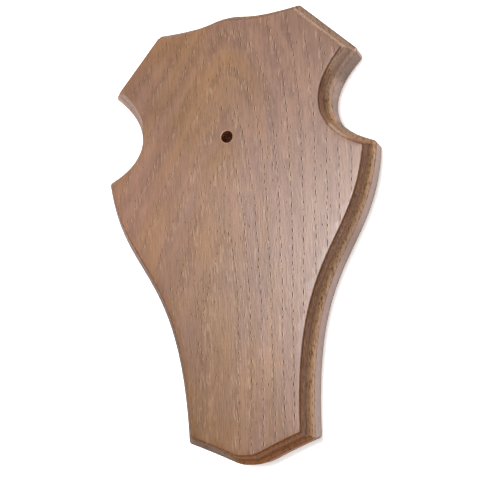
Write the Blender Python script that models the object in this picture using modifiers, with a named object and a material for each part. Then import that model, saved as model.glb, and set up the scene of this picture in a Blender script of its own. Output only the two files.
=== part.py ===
# Shield-shaped wooden plaque that a small pair of antlers is screwed to.
# One board, hung flat against a wall. Metres, +Z up. The back lies in the plane
# Y = 0 and faces +Y, the moulded front faces -Y, and the origin is on the back
# face, halfway up the centre line.

import math

import bmesh
import bpy

MM = 0.001

# Overall sizes
PLAQUE_HEIGHT = 240 * MM
PLAQUE_WIDTH = 154 * MM  # across the two tips below the side notches
BOARD_THICKNESS = 19.5 * MM

# Outline corners: widths across the board, and how far each lies below the crown's peak
CROWN_WIDTH = 83.2 * MM
CROWN_CORNER_DROP = 1.9 * MM
SHOULDER_WIDTH = 143.2 * MM
SHOULDER_DROP = 33.4 * MM
TIP_DROP = 83 * MM
FOOT_WIDTH = 68.6 * MM
FOOT_CORNER_RISE = 11.8 * MM  # above the foot's lowest point

# Which way the outline runs as it leaves or reaches each corner, in degrees
# anticlockwise from +X as seen from the front, on the right half
CROWN_END_ANGLE = 3.9
NOTCH_START_ANGLE = -138.6
NOTCH_END_ANGLE = -20.4
FLANK_START_ANGLE = -97.0
FLANK_END_ANGLE = -90.7
FOOT_START_ANGLE = -160.0

# How far each curve keeps to those directions, as shares of the distance that it spans
CROWN_PULL = (0.276, 0.779)
NOTCH_PULL = (0.733, 0.465)
FLANK_PULL = (0.384, 0.626)
FOOT_PULL = (0.815, 0.255)

# Routed edge, from the side face in to the flat front: eased arris, narrow ledge,
# hollow cove, rounded ovolo, shelf and a small upright step
EDGE_EASE = 0.5 * MM
LEDGE_WIDTH = 1.2 * MM
COVE_WIDTH = 1.6 * MM
COVE_HEIGHT = 3.4 * MM
OVOLO_WIDTH = 1.5 * MM
OVOLO_HEIGHT = 3.1 * MM
SHELF_WIDTH = 0.4 * MM
STEP_HEIGHT = 1.4 * MM
STEP_DRAFT = 0.06 * MM  # the step leans in by this much

CORNER_EASE = 2.0 * MM  # how far the sanded corners start from the sharp corner
BACK_EASE = 0.7 * MM  # chamfer round the back

SCREW_HOLE_DIAMETER = 6.5 * MM
SCREW_HOLE_DROP = 70.3 * MM  # below the crown's peak
SCREW_HOLE_OFFSET = -1.0 * MM  # drilled a little left of the centre line

# Smoothness
CURVE_STEPS = 20  # straight pieces in each curve of the outline
MITRE_ROOM = 1.05
PROFILE_STEPS = 5  # facets in the cove and in the ovolo
EASE_STEPS = 2
CORNER_STEPS = 4
HOLE_SIDES = 48
CUTTER_OVERSHOOT = 5 * MM
SHARP_ANGLE = math.radians(30)
WELD_DISTANCE = 0.001 * MM

STAINED_OAK = (0.376, 0.233, 0.152, 1.0)

plaque_collection = bpy.data.collections.new("antler_mounting_plaque")
cutter_collection = bpy.data.collections.new("cutters")


def clear_scene():
    for thing in list(bpy.data.objects):
        bpy.data.objects.remove(thing, do_unlink=True)
    for collection in (plaque_collection, cutter_collection):
        bpy.context.scene.collection.children.link(collection)


def wood_material():
    material = bpy.data.materials.new("stained_oak")
    material.use_nodes = True
    shader = material.node_tree.nodes["Principled BSDF"]
    shader.inputs["Base Color"].default_value = STAINED_OAK
    shader.inputs["Roughness"].default_value = 0.5
    shader.inputs["Metallic"].default_value = 0.0
    return material


def along(start, degrees, length):
    angle = math.radians(degrees)
    return (start[0] + length * math.cos(angle), start[1] + length * math.sin(angle))


def curve_points(start, leaving, end, reaching, pull):
    """Points inside a curve that leaves its start and reaches its end in these directions."""
    span = math.dist(start, end)
    bends = (start, along(start, leaving, pull[0] * span), along(end, reaching + 180, pull[1] * span), end)
    points = []
    for i in range(1, CURVE_STEPS):
        t = i / CURVE_STEPS
        weights = ((1 - t) ** 3, 3 * t * (1 - t) ** 2, 3 * t * t * (1 - t), t**3)
        points.append(tuple(sum(w * bend[axis] for w, bend in zip(weights, bends)) for axis in (0, 1)))
    return points


def mitre_reach(reaching, leaving):
    """How far along each side of a corner the moulding's mitre cuts."""
    turn = math.radians(abs(reaching - leaving))
    return moulding_profile()[-1][0] * math.tan(turn / 2) * MITRE_ROOM


def right_half():
    """Points of the right half from the crown's peak down to the foot.

    A corner keeps the points beside it clear of its mitre, so that the moulding never folds there.
    """
    top = PLAQUE_HEIGHT / 2
    peak = (0.0, top)
    crown = (CROWN_WIDTH / 2, top - CROWN_CORNER_DROP)
    shoulder = (SHOULDER_WIDTH / 2, top - SHOULDER_DROP)
    tip = (PLAQUE_WIDTH / 2, top - TIP_DROP)
    foot = (FOOT_WIDTH / 2, FOOT_CORNER_RISE - top)
    bottom = (0.0, -top)
    slope = math.degrees(math.atan2(shoulder[1] - crown[1], shoulder[0] - crown[0]))
    runs = [
        (peak, 0, crown, CROWN_END_ANGLE, CROWN_PULL),
        (crown, slope, shoulder, slope, None),
        (shoulder, NOTCH_START_ANGLE, tip, NOTCH_END_ANGLE, NOTCH_PULL),
        (tip, FLANK_START_ANGLE, foot, FLANK_END_ANGLE, FLANK_PULL),
        (foot, FOOT_START_ANGLE, bottom, -180, FOOT_PULL),
    ]
    points = [peak]
    start_reach = 0.0
    for i, (start, leaving, end, reaching, pull) in enumerate(runs):
        next_leaving = runs[i + 1][1] if i + 1 < len(runs) else reaching
        end_reach = mitre_reach(reaching, next_leaving)
        for point in curve_points(start, leaving, end, reaching, pull) if pull else []:
            if math.dist(point, start) > start_reach and math.dist(point, end) > end_reach:
                points.append(point)
        points.append(end)
        start_reach = end_reach
    return points


def whole_outline():
    """The right half followed by its mirror image, as one closed run of points."""
    right = right_half()
    left = [(-x, y) for x, y in reversed(right[1:-1])]
    return right + left


def outline_solid(name, thickness, lowest, collection):
    """The outline as a slab, built lying down: it stands on the height lowest and is this thick."""
    curve = bpy.data.curves.new(name, "CURVE")
    curve.dimensions = "2D"
    curve.fill_mode = "BOTH"
    curve.extrude = thickness / 2
    outline = whole_outline()
    spline = curve.splines.new("POLY")
    spline.points.add(len(outline) - 1)
    spline.use_cyclic_u = True
    for point, (x, y) in zip(spline.points, outline):
        point.co = (x, y, 0, 1)
    drawn = bpy.data.objects.new(name + "_drawn", curve)
    drawn.location.z = lowest + thickness / 2
    collection.objects.link(drawn)
    bpy.context.view_layer.update()

    evaluated = drawn.evaluated_get(bpy.context.evaluated_depsgraph_get())
    mesh = bpy.data.meshes.new_from_object(evaluated)
    mesh.name = name
    solid = bpy.data.objects.new(name, mesh)
    solid.matrix_world = drawn.matrix_world
    collection.objects.link(solid)
    bpy.data.objects.remove(drawn, do_unlink=True)

    shape = bmesh.new()
    shape.from_mesh(mesh)
    bmesh.ops.remove_doubles(shape, verts=shape.verts, dist=WELD_DISTANCE)
    shape.to_mesh(mesh)
    shape.free()
    return solid


def moulding_profile():
    """Points of the routed edge, as (distance in from the side, height above the side's top)."""
    points = [(0.0, 0.0)]
    for i in range(1, EASE_STEPS + 1):
        turn = math.pi / 2 * i / EASE_STEPS
        points.append((EDGE_EASE * (1 - math.cos(turn)), EDGE_EASE * math.sin(turn)))
    inset = EDGE_EASE + LEDGE_WIDTH
    height = EDGE_EASE
    points.append((inset, height))
    for i in range(1, PROFILE_STEPS + 1):
        turn = math.pi / 2 * i / PROFILE_STEPS
        points.append((inset + COVE_WIDTH * math.sin(turn), height + COVE_HEIGHT * (1 - math.cos(turn))))
    inset += COVE_WIDTH
    height += COVE_HEIGHT
    for i in range(1, PROFILE_STEPS + 1):
        turn = math.pi / 2 * i / PROFILE_STEPS
        points.append((inset + OVOLO_WIDTH * (1 - math.cos(turn)), height + OVOLO_HEIGHT * math.sin(turn)))
    inset += OVOLO_WIDTH + SHELF_WIDTH
    height += OVOLO_HEIGHT
    points.append((inset, height))
    points.append((inset + STEP_DRAFT, height + STEP_HEIGHT))
    return points


def flat_face(shape, direction):
    """Join the outline's fill that faces up or down into a single face, and return it."""
    fill = [face for face in shape.faces if face.normal.z * direction > 0.9]
    return bmesh.ops.dissolve_faces(shape, faces=fill)["region"][0]


def mould_board(board):
    """Step the front in along the moulding's profile, and chamfer the back."""
    shape = bmesh.new()
    shape.from_mesh(board.data)
    shape.normal_update()
    front = flat_face(shape, 1)
    back = flat_face(shape, -1)
    profile = moulding_profile()
    for (inset, height), (next_inset, next_height) in zip(profile, profile[1:]):
        bmesh.ops.inset_region(
            shape,
            faces=[front],
            thickness=next_inset - inset,
            depth=next_height - height,
            use_even_offset=True,
        )
    bmesh.ops.inset_region(
        shape,
        faces=[back],
        thickness=BACK_EASE,
        depth=BACK_EASE,
        use_even_offset=True,
    )
    bmesh.ops.recalc_face_normals(shape, faces=shape.faces)
    shape.to_mesh(board.data)
    shape.free()


def make_cutter(cutter):
    cutter.display_type = "WIRE"
    cutter.hide_render = True
    return cutter


def corner_shaper():
    """The same outline, taller than the board, with its upright corners rounded."""
    thickness = BOARD_THICKNESS + 2 * CUTTER_OVERSHOOT
    shaper = outline_solid("corner_shaper", thickness, -CUTTER_OVERSHOOT, cutter_collection)
    rounding = shaper.modifiers.new("Rounded corners", "BEVEL")
    rounding.limit_method = "ANGLE"
    rounding.angle_limit = SHARP_ANGLE
    rounding.width = CORNER_EASE
    rounding.segments = CORNER_STEPS
    return make_cutter(shaper)


def screw_drill():
    """A cylinder through the board, upright while the board lies down."""
    mesh = bpy.data.meshes.new("screw_drill")
    shape = bmesh.new()
    bmesh.ops.create_cone(
        shape,
        cap_ends=True,
        segments=HOLE_SIDES,
        radius1=SCREW_HOLE_DIAMETER / 2,
        radius2=SCREW_HOLE_DIAMETER / 2,
        depth=BOARD_THICKNESS + 2 * CUTTER_OVERSHOOT,
    )
    shape.to_mesh(mesh)
    shape.free()
    drill = bpy.data.objects.new("screw_drill", mesh)
    drill.location = (SCREW_HOLE_OFFSET, PLAQUE_HEIGHT / 2 - SCREW_HOLE_DROP, BOARD_THICKNESS / 2)
    cutter_collection.objects.link(drill)
    return make_cutter(drill)


def cut(board, label, operation, cutter):
    boolean = board.modifiers.new(label, "BOOLEAN")
    boolean.operation = operation
    boolean.solver = "EXACT"
    boolean.object = cutter


def stand_up(things):
    """Turn what was built lying down so that its front looks along -Y."""
    stand = bpy.data.objects.new("plaque_stand", None)
    plaque_collection.objects.link(stand)
    for thing in things:
        thing.parent = stand
    stand.rotation_euler.x = math.pi / 2


def build_plaque():
    moulding_height = moulding_profile()[-1][1]
    side_height = BOARD_THICKNESS - moulding_height - BACK_EASE
    board = outline_solid("plaque_board", side_height, BACK_EASE, plaque_collection)
    mould_board(board)
    board.data.materials.append(wood_material())
    shaper = corner_shaper()
    drill = screw_drill()
    cut(board, "Rounded corners", "INTERSECT", shaper)
    cut(board, "Screw hole", "DIFFERENCE", drill)
    stand_up([board, shaper, drill])
    for face in board.data.polygons:
        face.use_smooth = True
    board.data.set_sharp_from_angle(angle=SHARP_ANGLE)


clear_scene()
build_plaque()
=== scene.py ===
import math
import random

import bpy
from mathutils import Matrix, Vector, kdtree, noise
from mathutils.geometry import delaunay_2d_cdt


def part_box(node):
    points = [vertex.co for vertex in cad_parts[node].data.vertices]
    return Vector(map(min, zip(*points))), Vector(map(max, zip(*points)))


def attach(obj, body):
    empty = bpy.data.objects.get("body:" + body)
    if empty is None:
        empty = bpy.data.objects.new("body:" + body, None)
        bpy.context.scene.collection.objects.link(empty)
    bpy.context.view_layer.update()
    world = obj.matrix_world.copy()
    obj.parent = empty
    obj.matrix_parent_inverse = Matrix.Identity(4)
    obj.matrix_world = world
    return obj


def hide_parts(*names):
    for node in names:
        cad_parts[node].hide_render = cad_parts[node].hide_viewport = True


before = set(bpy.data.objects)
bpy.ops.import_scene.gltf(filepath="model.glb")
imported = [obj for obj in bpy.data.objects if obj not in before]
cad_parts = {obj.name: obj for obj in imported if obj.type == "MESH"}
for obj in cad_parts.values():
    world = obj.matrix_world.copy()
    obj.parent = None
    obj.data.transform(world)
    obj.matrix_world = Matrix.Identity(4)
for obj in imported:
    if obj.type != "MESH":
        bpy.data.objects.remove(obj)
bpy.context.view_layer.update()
print("frame loaded")

mm = 0.001
scene = bpy.context.scene
scene.view_settings.view_transform = "Standard"
scene.view_settings.look = "None"


# Camera: below and to the right of the board, close in, leaning a little
cameraSetup = {
    "aim": (8.5, -19.5, -12.3),  # mm, on the board's front
    "distance": 440.9,  # mm
    "azimuth": 21.1,  # degrees round to the right of square on
    "elevation": -10.07,
    "roll": -3.24,
    "lens": 62.0,  # mm
    "sensor": 36,  # mm wide
    "nearest": 10,  # mm, nothing closer shows
}


def makeCamera(setup):
    azimuth = math.radians(setup["azimuth"])
    elevation = math.radians(setup["elevation"])
    away = Vector((
        math.sin(azimuth) * math.cos(elevation),
        -math.cos(azimuth) * math.cos(elevation),
        math.sin(elevation),
    ))
    data = bpy.data.cameras.new("photoCamera")
    data.sensor_width = setup["sensor"]
    data.lens = setup["lens"]
    data.clip_start = setup["nearest"] * mm
    camera = bpy.data.objects.new("photoCamera", data)
    turn = (-away).to_track_quat("-Z", "Y").to_matrix().to_4x4()
    roll = Matrix.Rotation(math.radians(setup["roll"]), 4, "Z")
    place = Vector(setup["aim"]) * mm + away * setup["distance"] * mm
    camera.matrix_world = Matrix.Translation(place) @ turn @ roll
    scene.collection.objects.link(camera)
    scene.camera = camera


# Room: pale floor, an overlit white wall that is clear from behind, soft lights
roomSetup = {
    "floorDrop": 1300,  # mm below the board's middle
    "floorSize": 6000,
    "floorColour": "#ECEAE6",
    "wallGap": 0.4,  # mm behind the board's back
    "wallSize": 3000,
    "wallColour": "#FFFFFF",
    "wallGlow": 0.45,  # washes the board's shadow out, as in an overexposed backdrop
    "paintRoughness": 0.9,  # matt emulsion
    "skySeen": 1.0,  # white to look at
    "skyLight": 0.16,  # and softer as a light
}

lightSetup = {
    "key": {"place": (-200, -1100, 2200), "size": 1200, "power": 60.0, "colour": "#FFFAF4"},  # mm, W
    "front": {"place": (-80, -1000, 110), "size": 300, "power": 9.0, "colour": "#FFFFFF"},
    "behind": {"place": (300, 900, 500), "size": 900, "power": 5.0, "colour": "#FFFFFF"},
}


# sRGB hex to linear
def linear(code):
    values = []
    for i in (1, 3, 5):
        c = int(code[i:i + 2], 16) / 255
        values.append(c / 12.92 if c <= 0.04045 else ((c + 0.055) / 1.055) ** 2.4)
    return (*values, 1.0)


# Adds a node with its settings and its inputs, by number or by name, and gives its outputs
def addNode(tree, kind, inputs=(), **settings):
    node = tree.nodes.new(kind)
    for name, value in settings.items():
        setattr(node, name, value)
    pairs = inputs.items() if isinstance(inputs, dict) else enumerate(inputs)
    for socket, value in pairs:
        if isinstance(value, bpy.types.NodeSocket):
            tree.links.new(value, node.inputs[socket])
        else:
            node.inputs[socket].default_value = value
    return node.outputs


def addPlane(name, size, place, turn, colour, roughness):
    bpy.ops.mesh.primitive_plane_add(size=size * mm, location=Vector(place) * mm, rotation=turn)
    plane = bpy.context.object
    plane.name = name
    material = bpy.data.materials.new(name + "Paint")
    material.use_nodes = True
    shader = material.node_tree.nodes["Principled BSDF"]
    shader.inputs["Base Color"].default_value = linear(colour)
    shader.inputs["Roughness"].default_value = roughness
    plane.data.materials.append(material)
    return plane


def clearFromBehind(material):
    tree = material.node_tree
    paint = tree.nodes["Principled BSDF"].outputs[0]
    clear = addNode(tree, "ShaderNodeBsdfTransparent")[0]
    behind = addNode(tree, "ShaderNodeNewGeometry")["Backfacing"]
    mixed = addNode(tree, "ShaderNodeMixShader", (behind, paint, clear))[0]
    tree.links.new(mixed, tree.nodes["Material Output"].inputs["Surface"])


def makeRoom(setup):
    roughness = setup["paintRoughness"]
    floorPlace, wallPlace = (0, 0, -setup["floorDrop"]), (0, setup["wallGap"], 0)
    addPlane("floor", setup["floorSize"], floorPlace, (0, 0, 0), setup["floorColour"], roughness)
    wall = addPlane("wall", setup["wallSize"], wallPlace, (math.pi / 2, 0, 0), setup["wallColour"], roughness)
    paint = wall.data.materials[0]
    shader = paint.node_tree.nodes["Principled BSDF"]
    shader.inputs["Emission Color"].default_value = (1, 1, 1, 1)
    shader.inputs["Emission Strength"].default_value = setup["wallGlow"]
    clearFromBehind(paint)
    world = bpy.data.worlds.new("paleStudio")
    scene.world = world
    world.use_nodes = True
    tree = world.node_tree
    sky = tree.nodes["Background"]
    sky.inputs["Color"].default_value = (1, 1, 1, 1)
    seen = addNode(tree, "ShaderNodeLightPath")["Is Camera Ray"]
    strength = {"Value": seen, "To Min": setup["skyLight"], "To Max": setup["skySeen"]}
    tree.links.new(addNode(tree, "ShaderNodeMapRange", strength)[0], sky.inputs["Strength"])


def makeLights(setup):
    for name, light in setup.items():
        data = bpy.data.lights.new(name + "Light", "AREA")
        data.shape = "SQUARE"
        data.size = light["size"] * mm
        data.energy = light["power"]
        data.color = linear(light["colour"])[:3]
        lamp = bpy.data.objects.new(name + "Light", data)
        lamp.location = Vector(light["place"]) * mm
        lamp.rotation_euler = (-lamp.location).to_track_quat("-Z", "Y").to_euler()
        scene.collection.objects.link(lamp)


makeCamera(cameraSetup)
makeRoom(roomSetup)
makeLights(lightSetup)
print("camera, room and lights ready")


# Board: the same outline and routed edge as the CAD solid, drawn finer. All in mm: x across, z up,
# and depth counted from the flat front to the back.
lowCorner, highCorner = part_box("plaque_board")
boardHeight = (highCorner[2] - lowCorner[2]) / mm
boardWidth = (highCorner[0] - lowCorner[0]) / mm
boardThickness = (highCorner[1] - lowCorner[1]) / mm

outlineShape = {
    "crown": (41.6, 1.9),  # half width, drop below the peak
    "shoulder": (71.6, 33.4),
    "tipDrop": 83,
    "foot": (34.3, 11.8),  # half width, rise above the lowest point
    "crownEnd": 3.9,  # directions of the outline at its corners, degrees
    "notchStart": -138.6,
    "notchEnd": -20.4,
    "flankStart": -97.0,
    "flankEnd": -90.7,
    "footStart": -160.0,
    "crownPull": (0.276, 0.779),  # handle lengths as shares of each span
    "slopePull": (0.33, 0.33),
    "notchPull": (0.733, 0.465),
    "flankPull": (0.384, 0.626),
    "footPull": (0.815, 0.255),
    "pointGap": 1.4,  # between points along the outline
    "mitreRoom": 1.05,  # points keep this many times their mitre's reach from a sharp corner
    "cornerRound": 2.2,  # sanded corners
    "cornerSteps": 9,
}

edgeShape = {
    "arris": 0.3,  # worn edge of the flat front
    "step": 1.4,
    "shelf": 0.4,
    "ovolo": (1.5, 3.1),  # width, height
    "cove": (1.6, 3.4),
    "ledge": 1.2,
    "ease": 0.5,
    "backEase": 0.7,
    "draft": 0.06,  # how far the step leans in
    "steps": 8,  # per quarter round
    "smallSteps": 5,  # in the worn edge and in the ease
    "sharpAngle": 25,  # degrees, edges sharper than this aren't smoothed over
}

# How the stain sits round the routed edge, with painted light and shade taken into it: 0 as on the
# face, 1 soaked in, below 0 rubbed thin and -1 bare, dusty wood. The dark under the step and at both
# ends of the ovolo is partly gathered stain and partly painted shade; the pale cove, rim and sides are
# partly wear and partly painted light. The curves' stains change from their inner sides outwards.
edgeStainAndPaintedShading = {
    "step": 0.3,
    "stepFoot": 0.8,  # it gathers under the step, where it is also painted shade
    "ovolo": (0.85, -2.0, 1.7),  # at first, then times the share of the way out and its square
    "cove": (0.3, -1.6),  # at first, then times the angle in radians
    "coveLeast": -0.45,
    "rim": (-0.75, 0.2),  # the same round the ease
    "side": -1.0,
    "sideSteps": (0.08, 0.5, 0.9),  # shares of the way to the back
    "backArris": 0.2,
    "backEase": 0.1,
    "backMargin": 1,  # mm in from the ease to where it has faded
}


def along(start, degrees, length):
    angle = math.radians(degrees)
    return Vector((start[0] + length * math.cos(angle), start[1] + length * math.sin(angle)))


def curvePoints(start, leaving, end, reaching, pull, gap):
    span = (end - start).length
    a = along(start, leaving, pull[0] * span)
    b = along(end, reaching + 180, pull[1] * span)
    steps = round(span / gap)
    points = []
    for i in range(steps + 1):
        t = i / steps
        outer = start * (1 - t) ** 3 + end * t ** 3
        points.append(outer + a * 3 * t * (1 - t) ** 2 + b * 3 * t * t * (1 - t))
    return points


# Stations from the peak to the lowest point: each has its point, its inward direction and, at a sanded
# corner, the arc it lies on
def rightHalf(shape, reach):
    top = boardHeight / 2
    peak = Vector((0, top))
    crown = Vector((shape["crown"][0], top - shape["crown"][1]))
    shoulder = Vector((shape["shoulder"][0], top - shape["shoulder"][1]))
    tip = Vector((boardWidth / 2, top - shape["tipDrop"]))
    foot = Vector((shape["foot"][0], shape["foot"][1] - top))
    bottom = Vector((0, -top))
    slope = math.degrees(math.atan2(shoulder.y - crown.y, shoulder.x - crown.x))
    runs = [
        (peak, 0, crown, shape["crownEnd"], shape["crownPull"]),
        (crown, slope, shoulder, slope, shape["slopePull"]),
        (shoulder, shape["notchStart"], tip, shape["notchEnd"], shape["notchPull"]),
        (tip, shape["flankStart"], foot, shape["flankEnd"], shape["flankPull"]),
        (foot, shape["footStart"], bottom, -180, shape["footPull"]),
    ]
    stations = [(peak, Vector((0, -1)), None)]
    startReach = 0.0
    for i, (start, leaving, end, reaching, pull) in enumerate(runs):
        last = i + 1 == len(runs)
        nextLeaving = reaching if last else runs[i + 1][1]
        turn = math.radians(abs(reaching - nextLeaving))
        endReach = reach * math.tan(turn / 2) * shape["mitreRoom"]
        points = curvePoints(start, leaving, end, reaching, pull, shape["pointGap"])
        for before, point, after in zip(points, points[1:], points[2:]):
            if (point - start).length > startReach and (point - end).length > endReach:
                ahead = (after - before).normalized()
                stations.append((point, Vector((ahead.y, -ahead.x)), None))
        if last:
            stations.append((end, Vector((0, 1)), None))
            return stations
        first = along((0, 0), reaching - 90, 1)
        second = along((0, 0), nextLeaving - 90, 1)
        mitre = (first + second) / (1 + first.dot(second))
        for k in range(shape["cornerSteps"] + 1):
            facing = reaching + 90 + (nextLeaving - reaching) * k / shape["cornerSteps"]
            stations.append((end, mitre, facing))
        startReach = endReach


def stationAt(station, inset, cornerRound):
    point, inward, facing = station
    if facing is None or inset >= cornerRound:
        return point + inward * inset
    return along(point + inward * cornerRound, facing, cornerRound - inset)


def ringAround(stations, inset, shape):
    right = [stationAt(s, inset, shape["cornerRound"]) for s in stations]
    return right + [Vector((-p.x, p.y)) for p in reversed(right[1:-1])]


# The routed edge as (inset, depth, stain with painted shading), from the flat front round to the back
def edgeProfile(edge, tone):
    quarter = [math.pi / 2 * i / edge["steps"] for i in range(edge["steps"] + 1)]
    small = [math.pi / 2 * i / edge["smallSteps"] for i in range(edge["smallSteps"] + 1)]
    arris, ease, backEase = edge["arris"], edge["ease"], edge["backEase"]
    inset = ease + edge["ledge"] + edge["cove"][0] + edge["ovolo"][0] + edge["shelf"] + edge["draft"]
    points = [(inset + arris * (1 - math.sin(t)), arris * (1 - math.cos(t)), 0.0) for t in small]
    points.append((inset - edge["draft"] * 0.5, edge["step"] * 0.5, tone["step"]))
    inset, depth = inset - edge["draft"], edge["step"]
    points.append((inset, depth, tone["stepFoot"]))
    inset -= edge["shelf"]
    width, height = edge["ovolo"]
    first, slope, bend = tone["ovolo"]
    for t in quarter:
        out = math.sin(t)
        stainAndPaintedShading = first + slope * out + bend * out * out
        points.append((inset - width * out, depth + height * (1 - math.cos(t)), stainAndPaintedShading))
    inset, depth = inset - width, depth + height
    width, height = edge["cove"]
    first, slope = tone["cove"]
    for t in quarter[1:]:
        stainAndPaintedShading = max(tone["coveLeast"], first + slope * t)
        points.append((inset - width * (1 - math.cos(t)), depth + height * math.sin(t), stainAndPaintedShading))
    inset, depth = ease, depth + height
    first, slope = tone["rim"]
    for t in small:
        points.append((inset - ease * math.sin(t), depth + ease * (1 - math.cos(t)), first + slope * t))
    back = boardThickness - backEase
    for share in tone["sideSteps"]:
        points.append((0.0, depth + ease + (back - depth - ease) * share, tone["side"]))
    points.append((0.0, back, tone["backArris"]))
    points.append((backEase, boardThickness, tone["backEase"]))
    points.append((backEase + tone["backMargin"], boardThickness, 0.0))
    return points


# Wood: a flat-sawn board. Right of the heart line the rings run up in straight rows, left of it they
# fan out and arch over towards the crown.
ringShape = {
    "width": 5.8,  # from one ring to the next, right of the heart line
    "fan": 0.4,  # how closely the rings lie on the left, against the right
    "heart": -3,  # heart line halfway up, mm right of the middle
    "round": 4,  # mm, rounds the arches' tops
    "start": 3,
    "rise": 0.00097,  # per mm, grows with the square of the height above riseFrom
    "riseFrom": 65,
    "fade": 35,  # mm to the right over which the arches straighten
    "pivot": 130,  # height above the foot about which the grain leans
    "lean": 0.05,  # mm to the right per mm up
    "leanLeft": 0.12,  # more of it out to the left
    "leanRight": 0.03,
    "leanFrom": (5, 40),  # mm off the middle over which that starts
    "sink": 0.3,  # mm of ring per mm of depth
    "wobble": (0.22, 50, 110),  # in rings, over so many mm across and along
    "ripple": (0.09, 12, 40),
    "rippleShift": 40,  # so that the two don't move together
}

# Open pores cut by the planer as short slits, in rows along each ring. Real ones are 0.3 mm wide:
# drawn wider so that they show.
poreShape = {
    "seed": 4,
    "width": 0.5,
    "widths": (0.75, 0.5),  # the faintest pore's share of that, and how much more the darkest has
    "length": (1.2, 4.2),
    "longer": 0.7,  # below 1 makes more long pores than short ones
    "depth": 0.18,
    "haloAndHighlight": (0.25, 0.55),  # mm of paler, torn fibres to the left and right of a pore, wider on the right as a painted highlight on the slit's lit side
    "haloPeak": 0.4,  # share of the halo where it is palest
    "outline": [(0, 1), (0.8, 0.55), (1, 0), (0.8, -0.55), (0, -1), (-0.8, -0.55), (-1, 0), (-0.8, 0.55)],
    "floorLine": (0.6, 0, -0.6),  # shares of the half length
    "rimDark": 0.3,  # how dark the darkest pore's rim is
    "floorDark": (0.5, 0.5),  # how dark any pore's floor is, and how much more the darkest has
    "straight": (-15, 15),  # mm across, from the arches on the left to the straight rows
    "rowFill": (0.75, 1.0),  # chance of a pore on the left and on the right
    "rowSpread": 0.2,
    "archLength": 0.3,  # where a ring arches over, its pores are cut short
    "archTone": 0.75,  # and are a little fainter
    "tries": 24000,  # for loose pores
    "looseLength": 0.3,
    "looseTone": 0.7,
    "rowWidth": 0.25,  # share of a ring that carries loose pores
    "inRow": 0.12,  # chance of a loose pore there
    "strays": 0.015,  # and elsewhere
    "margin": 1.1,  # from the edge of the flat and the hole
    "endMargin": 0.5,
    "search": (0.5, 0.8),  # mm across and up between the places searched for a ring
    "cell": (1.3, 0.9),  # mm across and up that a pore keeps to itself
}

# Soft patches painted lighter or darker, as (x, z, reach, amount)
woodPatches = [
    (-62, 14, 30, 0.22),
    (-30, -62, 26, -0.12),
    (10, -62, 26, 0.10),
    (-30, -108, 20, -0.12),
    (52, 100, 24, -0.05),
    (-50, 85, 26, -0.08),
]


def smoothStep(low, high, value):
    t = min(1.0, max(0.0, (value - low) / (high - low)))
    return t * t * (3 - 2 * t)


def grainLean(x):
    left = ringShape["leanLeft"] * smoothStep(*ringShape["leanFrom"], -x)
    right = ringShape["leanRight"] * smoothStep(*ringShape["leanFrom"], x)
    return ringShape["lean"] + left + right


def ringAt(x, depth, z):
    wood = ringShape
    height = z + boardHeight / 2
    rise = wood["start"] + wood["rise"] * max(0, height - wood["riseFrom"]) ** 2 + wood["sink"] * depth
    across = x - wood["heart"] - grainLean(x) * (height - wood["pivot"])
    reach = math.hypot(across, wood["round"]) - wood["round"]
    if across < 0:
        ring = (reach * wood["fan"] + rise) / wood["width"]
    else:
        ring = (reach + rise * math.exp(-reach / wood["fade"])) / wood["width"]
    amount, across, down = wood["wobble"]
    ring += amount * noise.noise((x / across, depth / across, z / down))
    amount, across, down = wood["ripple"]
    ring += amount * noise.noise((x / across + wood["rippleShift"], depth / across, z / down))
    return ring


def patchAt(x, z):
    total = 0.0
    for px, pz, reach, amount in woodPatches:
        total += amount * math.exp(-((x - px) ** 2 + (z - pz) ** 2) / reach ** 2)
    return total


# Each point has its stain, as in the edge's stain table, its pore, from 1 in a slit to -1 for pale torn
# fibre with a painted highlight, its end grain, and its painted light and shade, which is added to the
# patches
def startMesh():
    return {"points": [], "faces": [], "stainAndPaintedShading": [], "pore": [], "end": [], "shade": [], "places": {}}


def addPoint(build, x, depth, z, stainAndPaintedShading=0.0, pore=0.0, end=0.0, shade=0.0):
    key = (round(x, 3), round(depth, 3), round(z, 3))
    if key not in build["places"]:
        build["places"][key] = len(build["points"])
        build["points"].append((x, depth, z))
        build["stainAndPaintedShading"].append(stainAndPaintedShading)
        build["pore"].append(pore)
        build["end"].append(end)
        build["shade"].append(shade)
    return build["places"][key]


def addFace(build, corners):
    corners = [c for c, nextCorner in zip(corners, corners[1:] + corners[:1]) if c != nextCorner]
    if len(corners) > 2:
        build["faces"].append(corners)


def bridge(build, ring, nextRing):
    for i in range(len(ring)):
        j = (i + 1) % len(ring)
        addFace(build, [ring[i], ring[j], nextRing[j], nextRing[i]])


def loopOnce(ring):
    return [a for a, b in zip(ring, ring[1:] + ring[:1]) if a != b]


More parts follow.
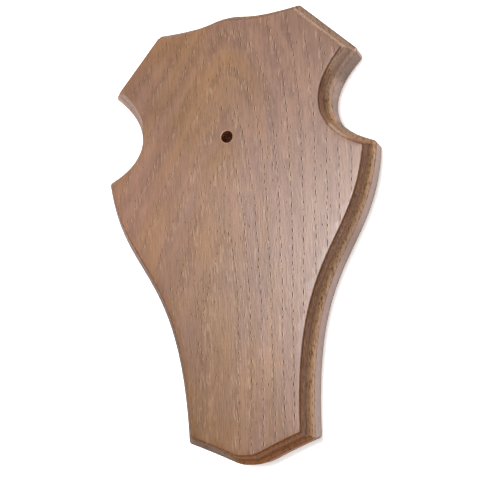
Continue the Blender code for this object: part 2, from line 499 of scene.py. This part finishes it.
# Where the routed edge is paler or darker than the stain table alone makes it. Most of this is
# painted light and shade: the left edge is painted in shade, the shoulders and the upper half of
# each notch are painted lighter, and the step's arris on the left gets a painted highlight. A pair
# tells where a change starts and where it is whole.
edgeWearAndPaintedLight = {
    "left": (2, 14),  # mm left of the middle
    "across": (0.75, 0.95),  # share of end grain in an edge that runs across the grain
    "slanting": (0.45, 0.6),  # and in one that slants
    "soakedLeft": 0.9,  # how much less end grain stain shows left of the foot's point, where the edge is painted in shade
    "soakedCrown": 0.2,  # and how much shows along the crown: kept off it, the crown looks paler, as painted light from above
    "soakedLeast": 0.1,
    "slantPaintedLight": -0.65,  # painted light: the slanting shoulders are painted pale, as lit from above
    "slantShade": -0.5,  # painted shade at the side, then painted light added over the ledge and the cove, and painted shade under the step
    "slantAdded": [(0.2, 0, 2.2), (0.22, 2.6, 4.0), (-0.3, 4.6, 5.2)],
    "notch": (60, 68),  # mm above the middle: the upper half of each side notch is painted pale, as painted light thrown up from the white ground
    "notchEnd": (86, 88),
    "notchPaintedLight": -0.9,
    "notchRight": 0.5,  # share of that on the right, in the outer half alone
    "notchShade": 0.15,  # and there it is painted lighter by this
    "outerHalf": (3.0, 4.0),  # mm in from the side
    "leftGreyInShade": 1.8,  # how much paler and greyer the left edge is painted, as bare wood in shade
    "leftShade": (-0.5, 0.1, 2.5),  # painted shade on the left edge: at the side, added per mm inwards, and as far in as this
    "leftStepHighlight": (4.5, 0.15),  # mm in, and the painted highlight on the step's arris from there inwards
    "crown": (0.8, 0.95),  # share of end grain
    "crownShade": 0.3,  # how much darker the right of the crown is
}


# How far a station's edge is end grain: 0 where the outline runs up the board, 1 where it runs across
def endShare(station):
    point, inward, facing = station
    if facing is None:
        return abs(inward.y)
    return abs(math.sin(math.radians(facing)))


# Stain, end grain, and painted light and shade at a point of the routed edge
def edgeTone(point, inset, stainAndPaintedShading, end, wearAndLight):
    left = smoothStep(*wearAndLight["left"], -point.x)
    right = 1 - left
    across = smoothStep(*wearAndLight["across"], end)
    slant = smoothStep(*wearAndLight["slanting"], end) * (1 - across) * right
    notch = smoothStep(*wearAndLight["notch"], point.y) * (1 - smoothStep(*wearAndLight["notchEnd"], point.y))
    outer = 1 - smoothStep(*wearAndLight["outerHalf"], inset)
    # real end grain stain, kept mostly to the foot, which paints it darker, as in shade
    soakedAndShaded = across * (1 - wearAndLight["soakedLeft"] * left) * (1 if point.y < 0 else wearAndLight["soakedCrown"])

    # the left edge is painted greyer, as bare wood in shade
    greyInShade = max(-1, stainAndPaintedShading * wearAndLight["leftGreyInShade"]) if stainAndPaintedShading < 0 else stainAndPaintedShading
    tone = stainAndPaintedShading * right + greyInShade * left
    tone += (max(tone, wearAndLight["soakedLeast"]) - tone) * soakedAndShaded
    # painted light: the shoulders and the upper half of each notch are painted pale
    tone += (wearAndLight["slantPaintedLight"] - tone) * slant
    tone += (wearAndLight["notchPaintedLight"] - tone) * notch * (left + wearAndLight["notchRight"] * outer * right)

    # painted light and shade over the shoulders and the notches
    added = [amount * smoothStep(start, whole, inset) for amount, start, whole in wearAndLight["slantAdded"]]
    shade = slant * (wearAndLight["slantShade"] + sum(added)) + wearAndLight["notchShade"] * notch * outer * right
    # painted shade over the left edge, with a painted highlight on its step
    atSide, perMm, reach = wearAndLight["leftShade"]
    stepFrom, stepHighlight = wearAndLight["leftStepHighlight"]
    shade += left * (1 - notch) * (stepHighlight if inset > stepFrom else perMm * min(inset, reach) + atSide)
    if point.y > 0:
        shade -= wearAndLight["crownShade"] * smoothStep(*wearAndLight["crown"], end) * right
    return tone, soakedAndShaded, shade


def addEdge(build, outline, edge):
    profile = edgeProfile(edge, edgeStainAndPaintedShading)
    stations = rightHalf(outline, profile[0][0])
    right = [endShare(station) for station in stations]
    ends = right + right[-2:0:-1]
    rings = []
    for i, (inset, depth, stainAndPaintedShading) in enumerate(profile):
        onFlat = i in (0, len(profile) - 1)  # toned as the faces are
        ring = []
        for p, end in zip(ringAround(stations, inset, outline), ends):
            tone, soakedAndShaded, shade = (0, 0, 0) if onFlat else edgeTone(p, inset, stainAndPaintedShading, end, edgeWearAndPaintedLight)
            ring.append(addPoint(build, p.x, depth, p.y, tone, 0.0, soakedAndShaded, shade))
        rings.append(ring)
    for ring, nextRing in zip(rings, rings[1:]):
        bridge(build, ring, nextRing)
    return loopOnce(rings[0]), loopOnce(rings[-1])


holeShape = {
    "across": 6.5,
    "drop": 70.3,  # below the peak
    "offset": -1.0,
    "rim": 0.3,  # mm of worn edge
    "worn": 0.3,  # share of the rim that its chamfer takes
    "sides": 56,
    "burntFrom": 2,  # mm deep
    "burntMiddle": 10,
    "faded": (2, 3),  # rims out from the bore, where the front and the back are as they are all over
    "rubbed": -0.4,  # stains: the rim, just inside it, the bore and the back's rim
    "scorched": 1.5,
    "burnt": 2,
    "backRim": 0.5,
}


def addBore(build, hole):
    radius, rim = hole["across"] / 2, hole["rim"]
    centre = Vector((hole["offset"], boardHeight / 2 - hole["drop"]))
    profile = [
        (radius + rim * hole["faded"][0], 0, 0),
        (radius + rim, 0, hole["rubbed"]),
        (radius + rim * hole["worn"], rim * hole["worn"], hole["rubbed"]),
        (radius, rim, hole["scorched"]),
        (radius, hole["burntFrom"], hole["burnt"]),
        (radius, hole["burntMiddle"], hole["burnt"]),
        (radius, boardThickness - rim, hole["burnt"]),
        (radius + rim * hole["worn"], boardThickness, hole["backRim"]),
        (radius + rim * hole["faded"][1], boardThickness, 0),
    ]
    rings = []
    for across, depth, stainAndPaintedShading in profile:
        spots = [along(centre, -360 * i / hole["sides"], across) for i in range(hole["sides"])]
        rings.append([addPoint(build, p.x, depth, p.y, stainAndPaintedShading) for p in spots])
    for ring, nextRing in zip(rings, rings[1:]):
        bridge(build, nextRing, ring)
    return rings[0], rings[-1]


# Pores on the flat: rows of dashes that follow the porous start of each ring, and a few strays
def choosePores(build, outerLoop, holeLoop, pores):
    isClear = clearOf(build, outerLoop, holeLoop, [])
    chance = random.Random(pores["seed"])
    low, high = pores["length"]
    acrossStep, upStep = pores["search"]
    cellWidth, cellHeight = pores["cell"]
    taken = {}
    chosen = []

    def tryPore(x, z, length, tone):
        heights = [z + share * length / 2 for share in (-1, -0.5, 0, 0.5, 1)]
        cells = [(round(x / cellWidth), round(height / cellHeight)) for height in heights]
        if any((c[0] + i, c[1] + j) in taken for c in cells for i in (-1, 0, 1) for j in (-1, 0, 1)):
            return
        endsClear = all(isClear(x, height, pores["endMargin"]) for height in (heights[0], heights[-1]))
        if endsClear and isClear(x, z, pores["margin"]):
            taken.update((cell, True) for cell in cells)
            chosen.append((x, z, length, tone))

    for row in range(int(boardHeight / upStep)):
        z = -boardHeight / 2 + row * upStep
        before = ringAt(-boardWidth / 2, 0, z)
        for column in range(1, int(boardWidth / acrossStep)):
            x = -boardWidth / 2 + column * acrossStep
            ring = ringAt(x, 0, z)
            if math.floor(ring) != math.floor(before):
                right = smoothStep(*pores["straight"], x)
                luck, size, tone = chance.random(), chance.random() ** pores["longer"], chance.random()
                share = (max(math.floor(ring), math.floor(before)) - before) / (ring - before)
                spread = chance.gauss(0, pores["rowSpread"])
                length = low + (high - low) * size * (pores["archLength"] * (1 - right) + right)
                tone *= pores["archTone"] * (1 - right) + right
                if luck < pores["rowFill"][0] * (1 - right) + pores["rowFill"][1] * right:
                    tryPore(x - acrossStep + share * acrossStep + spread, z, length, tone)
            before = ring
    for _ in range(pores["tries"]):
        x = chance.uniform(-boardWidth / 2, boardWidth / 2)
        z = chance.uniform(-boardHeight / 2, boardHeight / 2)
        luck, size, tone = chance.random(), chance.random(), chance.random()
        inRow = ringAt(x, 0, z) % 1 < pores["rowWidth"]
        if luck < (pores["inRow"] if inRow else pores["strays"]):
            tryPore(x, z, low + (high - low) * pores["looseLength"] * size, tone * pores["looseTone"])
    return chosen


# Gives a test: does a spot on the flat keep this far from its edge, the hole and other points?
def clearOf(build, outerLoop, holeLoop, others):
    border = kdtree.KDTree(len(outerLoop) + len(holeLoop) + len(others))
    for i in outerLoop + holeLoop + others:
        x, _, z = build["points"][i]
        border.insert((x, 0, z), i)
    border.balance()
    loop = [build["points"][i] for i in outerLoop]
    hole = [build["points"][i] for i in holeLoop]

    def isClear(x, z, gap):
        return border.find((x, 0, z))[2] > gap and isInside(loop, x, z) and not isInside(hole, x, z)

    return isClear


def isInside(loop, x, z):
    inside = False
    for (ax, _, az), (bx, _, bz) in zip(loop, loop[1:] + loop[:1]):
        if (az > z) != (bz > z) and x < ax + (z - az) / (bz - az) * (bx - ax):
            inside = not inside
    return inside


# One slit: a pointed rim with pale fibres beside it, partly a painted highlight, and a sunken floor line.
# Gives its edges.
def addPore(build, spot, pores):
    x, z, length, tone = spot
    least, more = pores["widths"]
    width, lean = pores["width"] * (least + more * tone), grainLean(x)
    outline = pores["outline"]
    rim, floor = [], []
    for side, end in outline:
        rise = end * length / 2
        across = x + side * width / 2 + lean * rise
        rim.append(addPoint(build, across, 0, z + rise, 0, pores["rimDark"] * tone))
    for side, end in [corner for corner in outline if corner[0] != 0]:
        rise = end * length / 2
        for away, paleFibreAndHighlight in ((pores["haloPeak"], -tone), (1, 0)):
            out = side * (width / 2 + pores["haloAndHighlight"][side > 0] * away)
            addPoint(build, x + out + lean * rise, 0, z + rise, 0, paleFibreAndHighlight)
    least, more = pores["floorDark"]
    for end in pores["floorLine"]:
        rise = end * length / 2
        floor.append(addPoint(build, x + lean * rise, pores["depth"], z + rise, 0, least + more * tone))
    return list(zip(rim, rim[1:] + rim[:1])) + list(zip(floor, floor[1:]))


# Triangles between the outer loop and the hole, through all inner points
def fillFlat(build, outerLoop, holeLoop, inner, edges, front):
    used = outerLoop + holeLoop + inner
    slot = {index: i for i, index in enumerate(used)}
    flat = [Vector((build["points"][i][0], build["points"][i][2])) for i in used]
    loops = [pair for loop in (outerLoop, holeLoop) for pair in zip(loop, loop[1:] + loop[:1])]
    lines = [(slot[a], slot[b]) for a, b in loops + edges]
    insideOnly, tolerance = 1, 1e-5
    spots, _, faces, sources, _, _ = delaunay_2d_cdt(flat, lines, [], insideOnly, tolerance)
    holeSlots = {slot[i] for i in holeLoop}
    depth = 0.0 if front else boardThickness
    index = []
    for spot, source in zip(spots, sources):
        index.append(used[source[0]] if source else addPoint(build, spot.x, depth, spot.y))
    for face in faces:
        if all(sources[i] and sources[i][0] in holeSlots for i in face):
            continue
        corners = [index[i] for i in face]
        addFace(build, corners if front else corners[::-1])


# Loose points over a flat, so that the rings are followed closely
gridShape = {
    "frontGap": 3.0,
    "backGap": 4.0,
    "stagger": 0.21,  # shares of the gap
    "room": 0.45,
}


def addGrid(build, outerLoop, holeLoop, gap, depth, taken, grid):
    isClear = clearOf(build, outerLoop, holeLoop, taken)
    inner = []
    for i in range(int(boardWidth / gap) + 1):
        for j in range(int(boardHeight / gap) + 1):
            x = -boardWidth / 2 + i * gap + grid["stagger"] * (j % 2) * gap
            z = -boardHeight / 2 + j * gap
            if isClear(x, z, grid["room"] * gap):
                inner.append(addPoint(build, x, depth, z))
    return inner


def makeBoard(outline, edge, hole, pores, grid):
    build = startMesh()
    frontLoop, backLoop = addEdge(build, outline, edge)
    routedFaces = range(len(build["faces"]))
    holeFront, holeBack = addBore(build, hole)
    # all but the two bands that lie on the front and the one on the back
    boreFaces = range(len(routedFaces) + 2 * hole["sides"], len(build["faces"]) - hole["sides"])
    chosen = choosePores(build, frontLoop, holeFront, pores)
    print("pores chosen:", len(chosen))
    slits, edges = [], []
    for spot in chosen:
        before = len(build["points"])
        edges += addPore(build, spot, pores)
        slits += range(before, len(build["points"]))
    inner = addGrid(build, frontLoop, holeFront, grid["frontGap"], 0.0, slits, grid)
    fillFlat(build, frontLoop, holeFront, slits + inner, edges, True)
    inner = addGrid(build, backLoop, holeBack, grid["backGap"], boardThickness, [], grid)
    fillFlat(build, backLoop, holeBack, inner, [], False)
    print("board shaped")

    mesh = bpy.data.meshes.new("plaqueWood")
    places = [(x * mm, (depth - boardThickness) * mm, z * mm) for x, depth, z in build["points"]]
    mesh.from_pydata(places, [], build["faces"])
    values = {name: build[name] for name in ("stainAndPaintedShading", "pore", "end")}
    values["ring"] = [ringAt(*point) for point in build["points"]]
    # the patches plus the edge's painted light and shade
    values["patchesAndPaintedShading"] = [s + patchAt(x, z) for s, (x, _, z) in zip(build["shade"], build["points"])]
    for name, numbers in values.items():
        mesh.attributes.new(name, "FLOAT", "POINT").data.foreach_set("value", numbers)
    for i in [*routedFaces, *boreFaces]:
        mesh.polygons[i].material_index = 1  # the routed finish
    mesh.shade_smooth()
    mesh.set_sharp_from_angle(angle=math.radians(edge["sharpAngle"]))
    piece = bpy.data.objects.new("plaqueWood", mesh)
    scene.collection.objects.link(piece)
    return piece


woodLook = {
    "early": "#815E45",
    "late": "#6D4B35",
    "gold": "#825D37",
    "rose": "#7E5E52",
    "paleFibreAndHighlight": "#BE9C80",  # torn fibres beside a pore, partly a painted highlight
    "rubbed": "#9A7756",  # where the stain is rubbed thin, partly painted light on the cove and the shoulders
    "dustyAndPaintedLight": "#A28A82",  # bare sides, their pale partly a painted reflection of the white surroundings
    "endGrain": "#7E4C26",
    "bore": "#A05C24",
    "pore": "#40281C",
    "stainAndPaintedShading": "#5C3818",
    "fleck": "#A08068",
    "roughness": 0.55,  # of the noise
    "fibres": (0.9, 20, 3.0),  # mm across and along the grain, and levels of detail
    "dashes": (0.6, 5, 1.5),
    "spots": (0.7, 2.4, 2.0),
    "patches": (22, 45, 2.0),
    "clouds": (0.9, 45, 3.0),  # rings across, mm along and levels of detail
    "tints": (1.6, 60, 2.0),
    "tintShare": 0.5,
    "goldAt": -18,  # mm right of the middle, with rosier wood to either side
    "tintShift": 180,  # mm that the change from gold to rose wanders
    "ragged": 0.3,  # rings that a row's border wanders
    "relief": (0.6, 0.0001),  # strength and metres
    "ior": 1.5,  # oiled wood
}

# How each pattern shows: from, to, and what it gives at each end. Noise lies between 0.3 and 0.7.
woodRamps = {
    "clouds": (0.40, 0.60, 0, 1),
    "tints": (85, 140, 0, 1),
    "calm": (-45, 0, 0.62, 1),  # mm across: the left is cut flatter to the rings and looks smoother
    "streaks": (0.34, 0.66, 0.84, 1.13),
    "streaksInRow": (0.1, 0.3, 1, 0.6),
    "bands": (0.0, 0.3, 0.93, 1.02),
    "uneven": (0.35, 0.65, 0.93, 1.05),
    "torn": (0.56, 0.70, 0, 0.7),
    "tornInRow": (0.08, 0.28, 1, 0.15),
    "routed": (0, 0.4, 0, 1),
    "marksWhere": (0, 1, 0.35, 0.75),
    "marks": (0.45, 0.31, 0, 1),
    "spots": (0.47, 0.37, 0, 1),
    "spotsOnSide": (-0.9, -0.5, 0.2, 1),
    "patchesAndPaintedShading": (-0.8, 0.8, 0.2, 1.8),
}

# The planed front is oiled to a satin. The routed edge is left as the cutter leaves it, with dark
# spots where it tore the grain.
finishes = {
    "oiledStainedOak": {"roughness": 0.36, "specular": 0.5, "spots": 0.0},
    "routedStainedOak": {"roughness": 0.6, "specular": 0.2, "spots": 0.9},
}


# Oak, planed and sanded, under a thin brown stain and a satin oil: open pores hold the stain and show
# as dark dashes, the fibres between them catch the light in fine streaks, broad soft bands follow the
# rings, and the end grain drinks more stain and turns orange-brown, shown mostly at the foot as
# painted shade.
def stainedOak(name, finish, look, ramp):
    material = bpy.data.materials.new(name)
    material.use_nodes = True
    tree = material.node_tree
    shader = tree.nodes["Principled BSDF"]
    place = addNode(tree, "ShaderNodeTexCoord")["Object"]
    place = addNode(tree, "ShaderNodeVectorMath", {0: place, "Scale": 1 / mm}, operation="SCALE")[0]
    parts = addNode(tree, "ShaderNodeSeparateXYZ", (place,))
    ring, stainAndPaintedShading, pore, ends, patchesAndPaintedShading = [
        addNode(tree, "ShaderNodeAttribute", attribute_name=kept)["Fac"]
        for kept in ("ring", "stainAndPaintedShading", "pore", "end", "patchesAndPaintedShading")
    ]
    alongGrain = addNode(tree, "ShaderNodeCombineXYZ", (ring, 0.0, parts["Z"]))[0]

    # noise drawn out along the grain
    def grainNoise(start, across, down, detail):
        stretch = (1 / across, 1 / across, 1 / down)
        scaled = addNode(tree, "ShaderNodeVectorMath", (start, stretch), operation="MULTIPLY")[0]
        settings = {"Vector": scaled, "Scale": 1.0, "Detail": detail, "Roughness": look["roughness"]}
        return addNode(tree, "ShaderNodeTexNoise", settings)["Fac"]

    # real fibres are 0.02 mm wide: bundles of them, as coarse as the eye picks out
    fibres = grainNoise(place, *look["fibres"])
    dashes = grainNoise(place, *look["dashes"])
    spots = grainNoise(place, *look["spots"])
    patches = grainNoise(place, *look["patches"])
    clouds = grainNoise(alongGrain, *look["clouds"])
    tints = grainNoise(alongGrain, *look["tints"])

    # early and late wood, golden near the heart line and rosy to either side
    share = addNode(tree, "ShaderNodeMapRange", (clouds, *ramp["clouds"]))[0]
    inputs = {0: share, 6: linear(look["late"]), 7: linear(look["early"])}
    colour = addNode(tree, "ShaderNodeMix", inputs, data_type="RGBA")[2]
    away = addNode(tree, "ShaderNodeMath", (parts["X"], look["goldAt"]), operation="SUBTRACT")[0]
    away = addNode(tree, "ShaderNodeMath", (away,), operation="ABSOLUTE")[0]
    away = addNode(tree, "ShaderNodeMath", (tints, look["tintShift"], away), operation="MULTIPLY_ADD")[0]
    share = addNode(tree, "ShaderNodeMapRange", (away, *ramp["tints"]))[0]
    inputs = {0: share, 6: linear(look["gold"]), 7: linear(look["rose"])}
    tint = addNode(tree, "ShaderNodeMix", inputs, data_type="RGBA")[2]
    colour = addNode(tree, "ShaderNodeMix", {0: look["tintShare"], 6: colour, 7: tint}, data_type="RGBA")[2]

    # rows: near the start of each ring the wood is open-pored, a little darker and rougher. A row
    # counts how far off that start is, up to half a ring.
    ragged = addNode(tree, "ShaderNodeMath", (fibres, look["ragged"], ring), operation="MULTIPLY_ADD")[0]
    row = addNode(tree, "ShaderNodeMath", (ragged, 0.5), operation="PINGPONG")[0]
    calm = addNode(tree, "ShaderNodeMapRange", (parts["X"], *ramp["calm"]))[0]
    strength = addNode(tree, "ShaderNodeMapRange", (row, *ramp["streaksInRow"]))[0]
    strength = addNode(tree, "ShaderNodeMath", (strength, calm), operation="MULTIPLY")[0]
    streaks = addNode(tree, "ShaderNodeMapRange", (fibres, *ramp["streaks"]))[0]
    shade = addNode(tree, "ShaderNodeMix", {0: strength, 2: 1.0, 3: streaks}, data_type="FLOAT")[0]
    for value, kept in ((row, "bands"), (patches, "uneven")):
        share = addNode(tree, "ShaderNodeMapRange", (value, *ramp[kept]))[0]
        shade = addNode(tree, "ShaderNodeMath", (shade, share), operation="MULTIPLY")[0]
    colour = addNode(tree, "ShaderNodeVectorMath", {0: colour, "Scale": shade}, operation="SCALE")[0]

    # pale flecks of torn fibre in the rows, pores too small to model, as dashes on the faces and
    # spots on the end grain and the moulding, and stained tears on the moulding
    routed = addNode(tree, "ShaderNodeMapRange", (stainAndPaintedShading, *ramp["routed"]))[0]
    where = addNode(tree, "ShaderNodeMath", (ends, routed), operation="MAXIMUM")[0]
    shares = []
    for first, firstRamp, second, secondRamp, third in (
        (dashes, "torn", row, "tornInRow", calm),
        (where, "marksWhere", dashes, "marks", calm),
        (spots, "spots", stainAndPaintedShading, "spotsOnSide", finish["spots"]),
    ):
        share = addNode(tree, "ShaderNodeMapRange", (first, *ramp[firstRamp]))[0]
        more = addNode(tree, "ShaderNodeMapRange", (second, *ramp[secondRamp]))[0]
        share = addNode(tree, "ShaderNodeMath", (share, more), operation="MULTIPLY")[0]
        shares.append(addNode(tree, "ShaderNodeMath", (share, third), operation="MULTIPLY")[0])
    torn, marks, tears = shares

    # routed wood drinks more stain, which under the step is also painted shade; bare sides are pale and
    # dusty, that pale partly a painted reflection of the white surroundings; and the bore is burnt. Each
    # layer has its colour, what it goes with, from, to, and how much it covers at each end.
    layers = [
        ("fleck", torn, 0, 1, 0, 1),
        ("stainAndPaintedShading", stainAndPaintedShading, 0, 1, 0, 0.8),
        ("bore", stainAndPaintedShading, 1, 2, 0, 1),
        ("rubbed", stainAndPaintedShading, 0, -0.45, 0, 0.9),
        ("dustyAndPaintedLight", stainAndPaintedShading, -0.45, -1, 0, 1),
        ("endGrain", ends, 0, 1, 0, 0.85),
        ("pore", marks, 0, 1, 0, 1),
        ("stainAndPaintedShading", tears, 0, 1, 0, 1),
        ("paleFibreAndHighlight", pore, 0, -1, 0, 0.8),
        ("pore", pore, 0, 1, 0, 0.9),
    ]
    for tone, *reach in layers:
        share = addNode(tree, "ShaderNodeMapRange", reach)[0]
        inputs = {0: share, 6: colour, 7: linear(look[tone])}
        colour = addNode(tree, "ShaderNodeMix", inputs, data_type="RGBA")[2]
    # the patches and the edge's painted light and shade scale the colour
    share = addNode(tree, "ShaderNodeMapRange", (patchesAndPaintedShading, *ramp["patchesAndPaintedShading"]))[0]
    colour = addNode(tree, "ShaderNodeVectorMath", {0: colour, "Scale": share}, operation="SCALE")[0]
    tree.links.new(colour, shader.inputs["Base Color"])

    shader.inputs["Roughness"].default_value = finish["roughness"]
    shader.inputs["Specular IOR Level"].default_value = finish["specular"]
    shader.inputs["IOR"].default_value = look["ior"]
    strength, distance = look["relief"]
    inputs = {"Strength": strength, "Distance": distance, "Height": dashes}
    tree.links.new(addNode(tree, "ShaderNodeBump", inputs)[0], shader.inputs["Normal"])
    return material


board = makeBoard(outlineShape, edgeShape, holeShape, poreShape, gridShape)
for finishName, finish in finishes.items():
    board.data.materials.append(stainedOak(finishName, finish, woodLook, woodRamps))
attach(board, "root")
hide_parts("plaque_board")
print("board made with", len(board.data.polygons), "faces")
